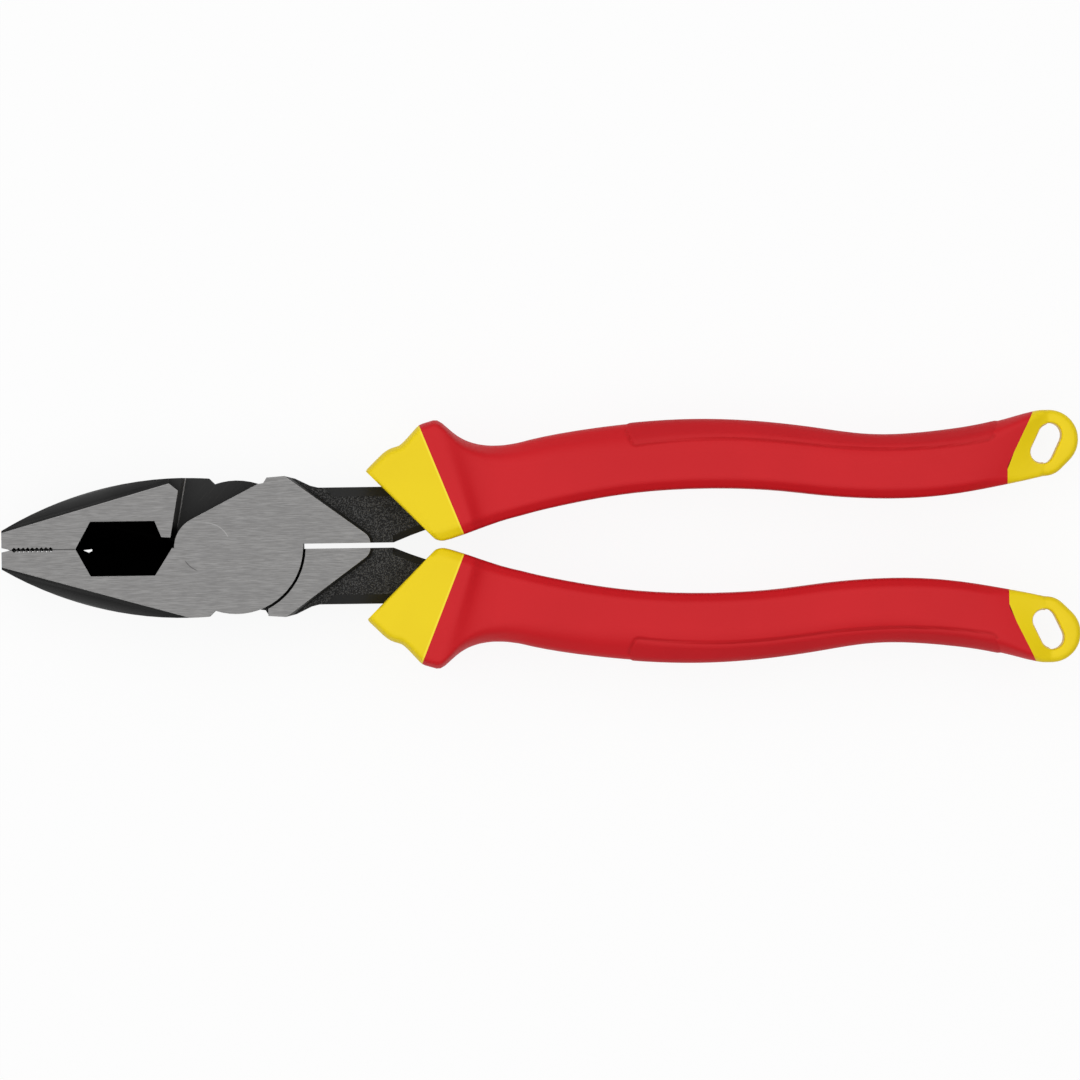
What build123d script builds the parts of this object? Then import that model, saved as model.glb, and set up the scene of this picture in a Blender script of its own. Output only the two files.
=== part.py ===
from build123d import *
import os
from math import cos, radians, sin, sqrt, tan

# Insulated lineman pliers, closed and lying on one face. Millimetres, +X from the jaws to the
# handles, +Z up along the rivet. The origin is under the middle of the tool, on the surface that
# it lies on. Each half is one forging: the front half is the lower jaw and the +Y handle, and the
# back half is the same forging turned over about X. Every piece is drawn about the rivet's
# centre, at the height where the two halves meet, and then set in place on pivot_plane.

# Overall reach from the rivet
jaw_reach = 47.5
handle_reach = 203.2

# Head
head_thickness = 15.9
jaw_half_width = 16.28
jaw_crown_x = -5.0
tip_half_width = 4.5
tip_relief = 0.5
tip_relief_length = 2.2
contact_clearance = 0.04
lap_clearance = 0.04
flank_front_inset = (0.7, 0.4)
flank_back_inset = (0.7, 0.23)
flank_width = 3.6
flank_depth = 5.2
flank_knee = (0.6, 0.4)

# Lap joint
boss_radius = 7.4
boss_clearance = 0.4
stop_angle = 27.2
shelf_length = 1.2
shelf_rise = 0.16
heel_setback = 0.1
heel_lean = 9.9
heel_draft = 8.0
heel_relief_x = -8.8
heel_relief_height = 2.45
heel_corner = [(-8.5, 15.1), (-6.2, 13.2)]
heel_corner_depth = 3.0
disc_radius = 15.55
disc_offset = 7.04
disc_gap = 0.6
disc_step_x = 2.0
disc_step_width = 1.4

# Shoulder and shank
shoulder_start_x = 14.3
shoulder_lean = 0.8
shoulder_rise = 1.67
shoulder_slope = 0.3
shoulder_end_x = 18.45
shoulder_turn = (20.7, 15.8)
shoulder_foot = (24.2, 14.1)
shank_start_x = 26.2
shank_inner = 0.6
shank_outer = 13.6
shank_thickness = 11.0
shank_overlap = 1.0
shank_end_x = 43.5
shank_edge_width = 2.2
shank_edge_drop = 1.8
tang_chamfer = 1.6
ground_corner = (38.2, 2.0)
ground_corner_radius = 3.0
ground_edge_lean = 0.2
step_room = 3.0
ground_step_slope = 14.0

# Rivet
rivet_radius = 4.4
rivet_head_radius = 5.7
rivet_head_depth = 2.0
rivet_clearance = 0.05

# Cutter pocket, one half; the distances are from the rivet's centre
pocket_front_x = -30.3
pocket_front_deep_x = -26.8
pocket_back_deep_x = -11.9
pocket_back_x = -7.9
pocket_height = 6.4
knife_edge_z = -2.0
knife_land = 0.5
knife_back_bevel = 2.5
throat_length = 2.9
throat_peak = 0.9
throat_depth = 0.85

# Gripping teeth
teeth_start_x = -45.1
teeth_end_x = -35.2
tooth_pitch = 1.06
tooth_depth = 0.45
tooth_relief = 0.14

# Handle: the guard keeps its place behind the shank, the eye keeps its place at the handle's
# end, and the grip between them takes up the length.
grip_start_x = 73.5
tail_length = 23.2
eye_neck_length = 7.9


def from_end(distance):
    return handle_reach - distance


def along_grip(share):
    return grip_start_x + share * (from_end(tail_length) - grip_start_x)


# Tang, first as far as the guard and then inside the grip: distance along the tool, centre line,
# width, thickness
tang_root = [
    (shank_end_x, (shank_outer + shank_inner) / 2, shank_outer - shank_inner, shank_thickness),
    (47.5, 8.4, 12.4, shank_thickness),
    (55.0, 10.6, 11.5, shank_thickness),
]
tang_stations = [
    (62.0, 12.5, 10.9, 10.6),
    (along_grip(0.02), 15.5, 10.0, 10.2),
    (along_grip(0.2), 18.9, 9.2, 9.6),
    (along_grip(0.37), 20.1, 8.6, 9.0),
    (along_grip(0.56), 19.2, 8.0, 8.4),
    (along_grip(0.72), 17.2, 7.5, 8.0),
    (along_grip(0.84), 16.8, 7.0, 7.6),
    (along_grip(0.95), 18.0, 6.6, 7.0),
]

# Grip walls
guard_thickness = 27.0
grip_thickness = 21.0
eye_thickness = 10.0
jacket_wall = 2.6
pad_depth = 0.8
pad_rise = 0.3
pad_groove = 0.4
bond_clearance = 0.02
inner_bevel = 2.2
inner_bevel_share = 0.42
outer_bevel_share = 0.28
guard_bevel = 0.8

# Guard and grip sections: the inner edge's point, the outer edge's point, thickness, and the
# width of the outer bevel
guard_sections = [
    ((53.3, 1.2), (37.1, 17.1), guard_thickness - 1.0, guard_bevel),
    ((54.3, 0.9), (41.7, 21.6), guard_thickness, guard_bevel),
    ((54.9, 0.8), (43.2, 22.5), guard_thickness, guard_bevel),
    ((55.9, 1.0), (45.2, 22.95), guard_thickness, guard_bevel),
    ((57.0, 1.3), (46.6, 24.2), guard_thickness, guard_bevel),
    ((60.1, 2.3), (49.9, 27.85), guard_thickness, guard_bevel),
]
peak_section = ((61.7, 2.85), (54.3, 29.15), guard_thickness, guard_bevel)
foot_sections = [
    ((63.2, 3.4), (57.2, 26.35), grip_thickness + 4.2, 1.2),
    ((64.35, 3.8), (59.0, 24.95), grip_thickness + 2.8, 1.6),
    ((65.5, 4.2), (61.0, 23.9), grip_thickness + 1.6, 2.0),
    ((67.0, 4.7), (63.5, 23.15), grip_thickness + 0.8, 2.4),
    ((68.5, 5.2), (66.2, 22.8), grip_thickness + 0.2, 2.8),
    ((71.0, 5.9), (69.3, 22.85), grip_thickness, 3.2),
]
handle_sections = [
    ((grip_start_x, 6.5), (grip_start_x - 1, 23.3), grip_thickness, 3.6),
    ((along_grip(0.07), 8.3), (along_grip(0.06), 24.95), grip_thickness, 4.2),
    ((along_grip(0.165), 10.2), (along_grip(0.155), 26.5), grip_thickness, 4.5),
    ((along_grip(0.26), 11.5), (along_grip(0.255), 27.6), grip_thickness, 4.4),
    ((along_grip(0.375), 12.15), (along_grip(0.375), 28.15), grip_thickness, 3.8),
    ((along_grip(0.485), 12.0), (along_grip(0.49), 27.7), grip_thickness, 3.5),
    ((along_grip(0.59), 11.1), (along_grip(0.6), 26.45), grip_thickness, 3.3),
    ((along_grip(0.705), 9.75), (along_grip(0.715), 24.6), grip_thickness, 3.0),
    ((along_grip(0.82), 9.25), (along_grip(0.82), 24.0), grip_thickness, 2.8),
    ((along_grip(0.925), 9.85), (along_grip(0.92), 24.8), grip_thickness - 0.6, 2.8),
    ((from_end(tail_length), 11.0), (from_end(tail_length), 26.0), grip_thickness - 2.4, 2.9),
    ((from_end(16.2), 12.3), (from_end(14.6), 28.05), grip_thickness - 6.0, 2.6),
    ((from_end(eye_neck_length), 14.1), (from_end(6.8), 29.2), eye_thickness, 2.0),
]

# Lanyard eye: a plate round a slot
eye_outer_radius = 6.85
eye_outer_centre = (from_end(eye_outer_radius), 22.55)
eye_inner_radius = 5.2
eye_inner_centre = (from_end(eye_neck_length), 19.2)
eye_rim = 0.9
slot_centre = (from_end(7.6), 21.6)
slot_width = 5.6
slot_length = 10.0
slot_lean = 25.4

# Where the red jacket ends at the eye, and the pad's edge on the broad face
tail_seam = [
    (from_end(9.6), 31.0),
    (from_end(10.5), 29.2),
    (from_end(16.5), 16.9),
    (from_end(16.9), 15.2),
    (from_end(16.1), 11.0),
]
pad_front = [(along_grip(0.211), 30.6), (along_grip(0.225), 27.1)]
pad_edge = [
    (along_grip(0.246), 22.5),
    (along_grip(0.39), 23.9),
    (along_grip(0.54), 23.4),
    (along_grip(0.718), 21.4),
    (along_grip(0.868), 21.1),
    (along_grip(1.028), 22.8),
]
pad_end = [(along_grip(1.043), 25.5), (along_grip(1.056), 31.0)]

pivot_x = (jaw_reach - handle_reach) / 2
pivot_plane = Plane((pivot_x, 0, guard_thickness / 2))
half_head = head_thickness / 2
half_shank = shank_thickness / 2
lap_z = lap_clearance / 2
contact_y = -contact_clearance / 2
past = 10.0
cut_margin = 0.05


def polar(radius, angle, centre_x=0.0):
    return (centre_x + radius * cos(radians(angle)), radius * sin(radians(angle)))


# The jaw's outer edge is one arc from its widest point to the tip.
jaw_run = jaw_reach + jaw_crown_x
jaw_fall = jaw_half_width - tip_half_width
jaw_curve = (jaw_run**2 + jaw_fall**2) / (2 * jaw_fall)
jaw_middle_x = (jaw_crown_x - jaw_reach) / 2


def jaw_edge(x):
    return jaw_half_width - jaw_curve + sqrt(jaw_curve**2 - (x - jaw_crown_x) ** 2)


def jaw_point(x):
    return (x, -jaw_edge(x))


def circle_height(radius, x):
    return sqrt(radius**2 - (x - disc_offset) ** 2)


flank_start = (-jaw_reach + flank_front_inset[0], -tip_half_width + flank_front_inset[1])
flank_end = (jaw_crown_x + flank_back_inset[0], -jaw_half_width + flank_back_inset[1])

# The shoulder stands above the wall that the other half's disc runs in.
wall_radius = disc_radius + disc_gap
wall_end = (shoulder_start_x, circle_height(wall_radius, shoulder_start_x))
shoulder_height = wall_end[1] + shoulder_rise
shoulder_end = (shoulder_end_x, shoulder_height + shoulder_slope)

tip_face = (-jaw_reach, -tip_relief)
tip_root = (-jaw_reach + tip_relief_length, contact_y)
tip_corner = (-jaw_reach, -tip_half_width)
shank_line = [
    (shoulder_start_x, shoulder_height),
    shoulder_end,
    shoulder_turn,
    shoulder_foot,
    (shank_start_x, shank_outer),
    (shank_start_x + shank_overlap, shank_outer),
    (ground_corner[0] + step_room, ground_corner[1]),
    (ground_corner[0] + step_room, shank_inner),
]

# Front layer of one forging: jaw, boss, stop face, shoulder, shank and disc.
boss_end = polar(boss_radius, 90 + stop_angle)
shelf_end_x = shoulder_start_x - shoulder_lean
stop_run = shelf_end_x - shelf_length - boss_end[0]
stop_end = (boss_end[0] + stop_run, boss_end[1] + stop_run * tan(radians(stop_angle)))
shelf_end = (shelf_end_x, stop_end[1] + shelf_rise)
disc_start = (disc_offset + sqrt(disc_radius**2 - shank_inner**2), shank_inner)
disc_end = (disc_step_x, -circle_height(disc_radius, disc_step_x))
step_foot_x = disc_step_x - disc_step_width
with BuildSketch(Plane.XY.offset(lap_z)) as front_layer:
    with BuildLine():
        Polyline(tip_corner, tip_face, tip_root, (-boss_radius, contact_y))
        ThreePointArc((-boss_radius, contact_y), polar(boss_radius, 135 + stop_angle / 2), boss_end)
        Polyline(boss_end, stop_end, shelf_end, *shank_line, disc_start)
        ThreePointArc(disc_start, polar(disc_radius, -45, disc_offset), disc_end)
        Line(disc_end, jaw_point(step_foot_x))
        ThreePointArc(jaw_point(step_foot_x), jaw_point(jaw_middle_x), tip_corner)
    make_face()

# Back layer of the same forging: the jaw as far as its heel, and the shank past the disc.
heel_top = (-boss_radius - heel_setback, contact_y)
heel_foot_x = heel_top[0] + jaw_half_width * tan(radians(heel_lean))
with BuildSketch(Plane.XY.offset(lap_z)) as heel_layer:
    with BuildLine():
        Polyline(tip_corner, tip_face, tip_root, heel_top, jaw_point(heel_foot_x))
        ThreePointArc(jaw_point(heel_foot_x), jaw_point(jaw_middle_x), tip_corner)
    make_face()
    Circle(boss_radius + boss_clearance, mode=Mode.SUBTRACT)

wall_start = (disc_offset + sqrt(wall_radius**2 - shank_inner**2), shank_inner)
with BuildSketch(Plane.XY.offset(lap_z)) as shank_layer:
    with BuildLine():
        ThreePointArc(wall_start, polar(wall_radius, 30, disc_offset), wall_end)
        Polyline(wall_end, *shank_line, wall_start)
    make_face()

# The heel leans back from the lap face, so that the forging leaves its die.
heel_plane = Plane(
    origin=(heel_top[0], heel_top[1], 0),
    x_dir=(-cos(radians(heel_lean)), -sin(radians(heel_lean)), 0),
    z_dir=(sin(radians(heel_lean)), -cos(radians(heel_lean)), 0),
)
with BuildPart() as heel_wedge:
    with BuildSketch(heel_plane.offset(-past)):
        draft_run = half_head * tan(radians(heel_draft))
        Polygon((0, 0), (draft_run, half_head), (-past, half_head), (-past, 0), align=None)
    extrude(amount=jaw_half_width + 2 * past)

# The heel's outer corner is knocked off below the ground face.
with BuildPart() as heel_notch:
    with BuildSketch(Plane.XY.offset(-half_head)):
        Polygon(
            (heel_corner[0][0], -heel_corner[0][1]),
            (heel_corner[1][0], -heel_corner[1][1]),
            (heel_corner[1][0] + past, -heel_corner[1][1]),
            (heel_corner[1][0] + past, -heel_corner[0][1] - past),
            (heel_corner[0][0], -heel_corner[0][1] - past),
            align=None,
        )
    extrude(amount=heel_corner_depth)

# The forged flank rolls off from the ground face's edge to the jaw's outer edge.
flank_vector = Vector(*flank_end) - Vector(*flank_start)
flank_way = flank_vector.normalized()
flank_plane = Plane(
    origin=(flank_start[0], flank_start[1], half_head),
    x_dir=(flank_way.Y, -flank_way.X, 0),
    z_dir=(flank_way.X, flank_way.Y, 0),
)
with BuildPart() as flank_cut:
    with BuildSketch(flank_plane.offset(-past)):
        with BuildLine():
            ThreePointArc((0, 0), (flank_width * flank_knee[0], flank_depth * flank_knee[1]),
                          (flank_width, flank_depth))
            Polyline((flank_width, flank_depth), (flank_width + past, flank_depth),
                     (flank_width + past, -past), (0, -past), (0, 0))
        make_face()
    extrude(amount=flank_vector.length + 2 * past)
    mirror(about=Plane.XY)

# The shank is thinner than the head; the step down to it slopes.
step_way = Vector(*ground_corner) - Vector(*shoulder_end)
step_start = Vector(*shoulder_end) - step_way.normalized() * past
with BuildPart() as shank_step:
    with BuildSketch(Plane.XY.offset(half_head)) as step_sketch:
        Polygon(
            (step_start.X, step_start.Y),
            ground_corner,
            (ground_corner[0] + ground_edge_lean, -past),
            (shank_end_x, -past),
            (shank_end_x, jaw_half_width + past),
            (step_start.X, jaw_half_width + past),
            align=None,
        )
        corner = step_sketch.vertices().sort_by_distance((*ground_corner, half_head))[0]
        fillet(corner, ground_corner_radius)
    extrude(amount=-(half_head - half_shank), taper=ground_step_slope)
    mirror(about=Plane.XY)


# The tang's corners are knocked off as far as the guard, and left square inside the grip.
def tang_section(station, clearance, knocked_off):
    x, middle, width, thickness = station
    with BuildSketch(Plane((x, middle, 0), x_dir=(0, 1, 0), z_dir=(1, 0, 0))) as section:
        Rectangle(width + 2 * clearance, thickness + 2 * clearance)
        if knocked_off:
            chamfer(section.vertices(), tang_chamfer)
    return section.sketch


def tang_form(clearance):
    with BuildPart() as form:
        for station in tang_root:
            add(tang_section(station, clearance, knocked_off=True))
        loft(ruled=True)
        for station in [tang_root[-1], *tang_stations]:
            add(tang_section(station, clearance, knocked_off=False))
        loft(ruled=True)
    return form.part


# The shank in front of the grip is straight, with its outer edges knocked off.
def shank_form(clearance):
    inner = shank_inner - clearance
    outer = shank_outer + clearance
    side = half_shank + clearance
    with BuildPart() as form:
        with BuildSketch(Plane((shank_start_x, 0, 0), x_dir=(0, 1, 0), z_dir=(1, 0, 0))):
            Polygon(
                (inner, -side),
                (outer - shank_edge_width, -side),
                (outer, shank_edge_drop - side),
                (outer, side - shank_edge_drop),
                (outer - shank_edge_width, side),
                (inner, side),
                align=None,
            )
        extrude(amount=shank_end_x - shank_start_x + clearance)
    return form.part


with BuildPart() as forging:
    add(front_layer.sketch)
    extrude(amount=half_head - lap_z)
    add(heel_layer.sketch)
    extrude(amount=-half_head - lap_z)
    add(heel_wedge.part, mode=Mode.SUBTRACT)
    add(heel_notch.part, mode=Mode.SUBTRACT)
    add(shank_layer.sketch)
    extrude(amount=-half_head - lap_z)
    add(flank_cut.part, mode=Mode.SUBTRACT)
    add(shank_step.part, mode=Mode.SUBTRACT)
    add(shank_form(0))
    add(tang_form(0))


# The rivet is ground flush with both faces; its heads are cones.
def rivet_profile(clearance):
    top = half_head + clearance
    Polygon(
        (0, -top),
        (rivet_head_radius + clearance, -top),
        (rivet_radius + clearance, rivet_head_depth - half_head),
        (rivet_radius + clearance, half_head - rivet_head_depth),
        (rivet_head_radius + clearance, top),
        (0, top),
        align=None,
    )


with BuildPart() as rivet_blank:
    with BuildSketch(Plane.XZ):
        rivet_profile(0)
    revolve(axis=Axis.Z)

with BuildPart() as rivet_bore:
    with BuildSketch(Plane.XZ):
        rivet_profile(rivet_clearance)
    revolve(axis=Axis.Z)

# One jaw's share of the cutter pocket, under the contact line: a hexagon's lower half in the
# front face, with a long bevel down to the knife edge, and a short bevel behind the edge.
with BuildPart() as knife_cut:
    with BuildSketch(Plane.YZ.offset(pocket_front_x)):
        Polygon(
            (past, half_head + past),
            (-pocket_height, half_head + past),
            (-pocket_height, half_head),
            (contact_y, knife_edge_z),
            (past, knife_edge_z),
            align=None,
        )
    extrude(amount=pocket_back_x - pocket_front_x)
    with BuildSketch(Plane.XY.offset(knife_edge_z)):
        Polygon(
            (pocket_front_x, past),
            (pocket_front_x, contact_y),
            (pocket_front_deep_x, -pocket_height),
            (pocket_back_deep_x, -pocket_height),
            (pocket_back_x, contact_y),
            (pocket_back_x, past),
            align=None,
        )
    extrude(amount=head_thickness, mode=Mode.INTERSECT)
    with BuildSketch(Plane.YZ.offset(pocket_front_deep_x)):
        Polygon(
            (past, knife_edge_z - knife_land),
            (contact_y, knife_edge_z - knife_land),
            (-knife_back_bevel, -half_head - cut_margin),
            (past, -half_head - cut_margin),
            align=None,
        )
    extrude(amount=pocket_back_x - pocket_front_deep_x)

# The throat in front of the knife is open through to the back face, on one jaw only.
with BuildPart() as throat_cut:
    with BuildSketch(Plane.XY.offset(-half_head - cut_margin)):
        Polygon(
            (pocket_front_deep_x - throat_length, past),
            (pocket_front_deep_x - throat_length, contact_y),
            (pocket_front_deep_x - throat_peak, contact_y - throat_depth),
            (pocket_front_deep_x, contact_y - throat_depth / 2),
            (pocket_front_deep_x, past),
            align=None,
        )
    extrude(amount=head_thickness)

# The other jaw's pocket is open through its heel.
with BuildPart() as heel_relief:
    with BuildSketch(Plane.XY.offset(lap_z)):
        Polygon(
            (heel_relief_x, -past),
            (heel_relief_x, heel_relief_height),
            (heel_relief_x + past, heel_relief_height),
            (heel_relief_x + past, -past),
            align=None,
        )
    extrude(amount=head_thickness)

tooth_count = int((teeth_end_x - teeth_start_x) / tooth_pitch)
with BuildPart() as tooth_cut:
    with BuildSketch(Plane.XY.offset(-half_head - cut_margin)):
        for tooth in range(tooth_count):
            with Locations((teeth_start_x + tooth * tooth_pitch, contact_y)):
                Polygon(
                    (0, cut_margin),
                    (0, -tooth_relief),
                    (tooth_pitch / 2, -tooth_relief - tooth_depth),
                    (tooth_pitch, -tooth_relief),
                    (tooth_pitch, cut_margin),
                    align=None,
                )
    extrude(amount=head_thickness + 2 * cut_margin)

turned_over = (180, 0, 0)

with BuildPart(pivot_plane) as front_half:
    add(forging.part)
    add(knife_cut.part, mode=Mode.SUBTRACT)
    add(throat_cut.part, mode=Mode.SUBTRACT)
    add(tooth_cut.part, mode=Mode.SUBTRACT)
    add(rivet_bore.part, mode=Mode.SUBTRACT)

# The pocket opens on the front face of both jaws, so the back half takes a mirrored cut.
knife_cut_above = mirror(knife_cut.part, about=Plane.XZ, mode=Mode.PRIVATE)
tooth_cut_above = mirror(tooth_cut.part, about=Plane.XZ, mode=Mode.PRIVATE)
with BuildPart(pivot_plane) as back_half:
    add(forging.part, rotation=turned_over)
    add(knife_cut_above, mode=Mode.SUBTRACT)
    add(heel_relief.part, mode=Mode.SUBTRACT)
    add(tooth_cut_above, mode=Mode.SUBTRACT)
    add(rivet_blank.part, mode=Mode.SUBTRACT)

with BuildPart(pivot_plane) as rivet:
    add(rivet_blank.part)


# A grip section stands in a plane that holds the Z axis and the line from the inner edge to the
# outer one.
def section_frame(section, inset):
    inner, outer, thickness, outer_bevel = section
    across = Vector(*outer) - Vector(*inner)
    middle = (Vector(*outer) + Vector(*inner)) / 2
    plane = Plane(origin=middle, x_dir=across, z_dir=(across.Y, -across.X, 0))
    return plane, across.length / 2 - inset, thickness / 2 - inset


# The skin's section has a steep bevel along its inner edge and a broad one along its outer edge.
def skin_section(section, inset):
    plane, half_width, half_thick = section_frame(section, inset)
    outer_bevel = section[-1]
    inner_side = half_thick * (1 - inner_bevel_share)
    outer_side = half_thick * (1 - outer_bevel_share)
    with BuildSketch(plane) as sketch:
        Polygon(
            (half_width, outer_side),
            (half_width - outer_bevel, half_thick),
            (inner_bevel - half_width, half_thick),
            (-half_width, inner_side),
            (-half_width, -inner_side),
            (inner_bevel - half_width, -half_thick),
            (half_width - outer_bevel, -half_thick),
            (half_width, -outer_side),
            align=None,
        )
    return sketch.sketch


# The handle's skin, from the guard's foot to the lanyard eye
def handle_form(inset):
    with BuildPart() as form:
        for section in handle_sections:
            add(skin_section(section, inset))
        loft()
    return form.part


# The core under the jacket is square in section, and straight from one section to the next.
def core_form(inset):
    foot = [guard_sections[-1], peak_section, foot_sections[2]]
    with BuildPart() as form:
        for section in [*foot, *handle_sections[::2]]:
            plane, half_width, half_thick = section_frame(section, inset)
            with BuildSketch(plane):
                Rectangle(2 * half_width, 2 * half_thick)
        loft(ruled=True)
    return form.part


with BuildPart() as guard:
    for section in guard_sections:
        add(skin_section(section, 0))
    loft(ruled=True)

# The lanyard eye is a plate round a slot; both of its ends are round the slot's ends.
with BuildPart() as eye:
    with BuildSketch(Plane.XY.offset(-eye_thickness / 2)):
        with Locations(eye_outer_centre):
            Circle(eye_outer_radius)
        with Locations(eye_inner_centre):
            Circle(eye_inner_radius)
        make_hull()
    extrude(amount=eye_thickness)
    rims = eye.faces().filter_by(Axis.Z).edges()
    chamfer(rims, eye_rim)

with BuildPart() as slot:
    with BuildSketch(Plane.XY.offset(-guard_thickness / 2)):
        with Locations(slot_centre):
            SlotOverall(slot_length, slot_width, rotation=90 - slot_lean)
    extrude(amount=guard_thickness)

# Everything on the eye's side of the seam belongs to the inner sleeve.
with BuildPart() as tail_zone:
    with BuildSketch(Plane.XY.offset(-guard_thickness / 2)):
        Polygon(*tail_seam, (from_end(-past), tail_seam[-1][1]),
                (from_end(-past), tail_seam[0][1]), align=None)
    extrude(amount=guard_thickness)

# The pad lies along the grip's outer edge and laps on to both broad faces.
def pad_zone(margin):
    front = [(x - margin, y) for x, y in pad_front]
    edge = [(x, y - margin) for x, y in pad_edge]
    edge[0] = (edge[0][0] - margin, edge[0][1])
    edge[-1] = (edge[-1][0] + margin, edge[-1][1])
    end = [(x + margin, y) for x, y in pad_end]
    with BuildPart() as zone:
        with BuildSketch(Plane.XY.offset(-guard_thickness / 2)):
            with BuildLine():
                Polyline(*front, edge[0])
                Spline(*edge)
                Polyline(edge[-1], *end, front[0])
            make_face()
        extrude(amount=guard_thickness)
    return zone.part


with BuildPart() as skin:
    for section in [guard_sections[-1], peak_section, *foot_sections, handle_sections[0]]:
        add(skin_section(section, 0))
    loft(ruled=True)
    add(handle_form(0))

with BuildPart() as sleeve_blank:
    add(skin.part)
    add(eye.part)
    add(tail_zone.part, mode=Mode.INTERSECT)
    add(guard.part)
    add(core_form(jacket_wall))
    add(slot.part, mode=Mode.SUBTRACT)
    add(shank_form(bond_clearance), mode=Mode.SUBTRACT)
    add(tang_form(bond_clearance), mode=Mode.SUBTRACT)

with BuildPart() as pad_blank:
    add(handle_form(-pad_rise))
    add(pad_zone(0), mode=Mode.INTERSECT)
    add(handle_form(pad_depth), mode=Mode.SUBTRACT)

with BuildPart() as pad_recess:
    add(pad_zone(pad_groove))
    add(handle_form(pad_depth + bond_clearance), mode=Mode.SUBTRACT)

with BuildPart() as jacket_blank:
    add(skin.part)
    add(tail_zone.part, mode=Mode.SUBTRACT)
    add(core_form(jacket_wall - bond_clearance), mode=Mode.SUBTRACT)
    add(pad_recess.part, mode=Mode.SUBTRACT)

with BuildPart(pivot_plane) as front_sleeve:
    add(sleeve_blank.part)

with BuildPart(pivot_plane) as front_grip:
    add(jacket_blank.part)

with BuildPart(pivot_plane) as front_pad:
    add(pad_blank.part)

with BuildPart(pivot_plane) as back_sleeve:
    add(sleeve_blank.part, rotation=turned_over)

with BuildPart(pivot_plane) as back_grip:
    add(jacket_blank.part, rotation=turned_over)

with BuildPart(pivot_plane) as back_pad:
    add(pad_blank.part, rotation=turned_over)

pieces = {
    "front_half": front_half,
    "back_half": back_half,
    "rivet": rivet,
    "front_sleeve": front_sleeve,
    "front_grip": front_grip,
    "front_pad": front_pad,
    "back_sleeve": back_sleeve,
    "back_grip": back_grip,
    "back_pad": back_pad,
}
os.makedirs("parts", exist_ok=True)
for name, piece in pieces.items():
    piece.part.label = name
    export_step(piece.part, "parts/" + name + ".step")
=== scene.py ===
from math import cos, pi, radians, sin

import bmesh
import bpy
import numpy as np
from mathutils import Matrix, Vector


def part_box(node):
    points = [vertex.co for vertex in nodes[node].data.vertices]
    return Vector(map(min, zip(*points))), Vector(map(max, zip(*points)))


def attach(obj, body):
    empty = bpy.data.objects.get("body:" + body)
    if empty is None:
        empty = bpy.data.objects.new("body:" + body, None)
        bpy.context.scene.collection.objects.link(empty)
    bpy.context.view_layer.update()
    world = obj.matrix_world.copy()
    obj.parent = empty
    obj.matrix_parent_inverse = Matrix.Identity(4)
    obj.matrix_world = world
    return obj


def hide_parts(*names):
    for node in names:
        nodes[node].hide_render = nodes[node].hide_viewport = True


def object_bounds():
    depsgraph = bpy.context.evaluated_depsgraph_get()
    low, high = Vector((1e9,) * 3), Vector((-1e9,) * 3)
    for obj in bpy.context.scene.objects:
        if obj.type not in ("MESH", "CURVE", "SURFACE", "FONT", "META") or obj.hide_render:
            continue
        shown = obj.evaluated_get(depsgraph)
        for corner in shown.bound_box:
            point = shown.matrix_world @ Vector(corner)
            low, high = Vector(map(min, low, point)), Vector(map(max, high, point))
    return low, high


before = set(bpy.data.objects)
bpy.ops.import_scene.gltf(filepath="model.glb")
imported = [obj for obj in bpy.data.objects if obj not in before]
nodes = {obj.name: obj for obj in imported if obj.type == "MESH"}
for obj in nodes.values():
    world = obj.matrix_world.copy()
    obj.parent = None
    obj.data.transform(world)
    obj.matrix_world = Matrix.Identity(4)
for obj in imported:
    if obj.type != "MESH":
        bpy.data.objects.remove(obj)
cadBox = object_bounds()
mm = 0.001
halves = {"front": 1, "back": -1}       # the back half is the front one turned over about X
shadeAngle = 50                         # edges that turn by more than this stay sharp
patternSpan = (0.3, 0.7)                # most of a noise pattern's values lie between these

# The rivet is the middle of everything: patterns and pieces are placed from it. Lengths in the
# settings are millimetres, and places are millimetres from the rivet's centre
rivetLow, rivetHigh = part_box("rivet")
pivot = (rivetLow + rivetHigh) / 2
halfHead = (rivetHigh.z - rivetLow.z) / 2 / mm


def startMaterial(name):
    material = bpy.data.materials.new(name)
    material.use_nodes = True
    tree = material.node_tree
    tree.nodes.clear()
    shader = tree.nodes.new("ShaderNodeBsdfPrincipled")
    out = tree.nodes.new("ShaderNodeOutputMaterial")
    tree.links.new(shader.outputs[0], out.inputs[0])
    return material, tree, shader


def feed(tree, socket, value):
    if isinstance(value, bpy.types.NodeSocket):
        tree.links.new(value, socket)
    elif value is not None:
        socket.default_value = value


def calc(tree, operation, a, b=None):
    node = tree.nodes.new("ShaderNodeMath")
    node.operation = operation
    for socket, value in zip(node.inputs, (a, b)):
        feed(tree, socket, value)
    return node.outputs[0]


def absolute(tree, value):
    return calc(tree, "ABSOLUTE", value)


def inverse(tree, mask):
    return calc(tree, "SUBTRACT", 1.0, mask)


def ramp(tree, value, low, high, outLow=0.0, outHigh=1.0):
    node = tree.nodes.new("ShaderNodeMapRange")
    node.interpolation_type = "SMOOTHSTEP"
    for socket, part in zip(node.inputs, (value, low, high, outLow, outHigh)):
        feed(tree, socket, part)
    return node.outputs[0]


def fade(tree, value, low, high):
    # One up to the first limit, nothing past the second
    return ramp(tree, value, low, high, 1.0, 0.0)


def between(tree, value, low, high, soft):
    # One inside the two limits, fading to nothing outside them
    rise = ramp(tree, value, low - soft, low)
    return calc(tree, "MULTIPLY", rise, fade(tree, value, high, high + soft))


def every(tree, *masks):
    product = masks[0]
    for mask in masks[1:]:
        product = calc(tree, "MULTIPLY", product, mask)
    return product


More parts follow.
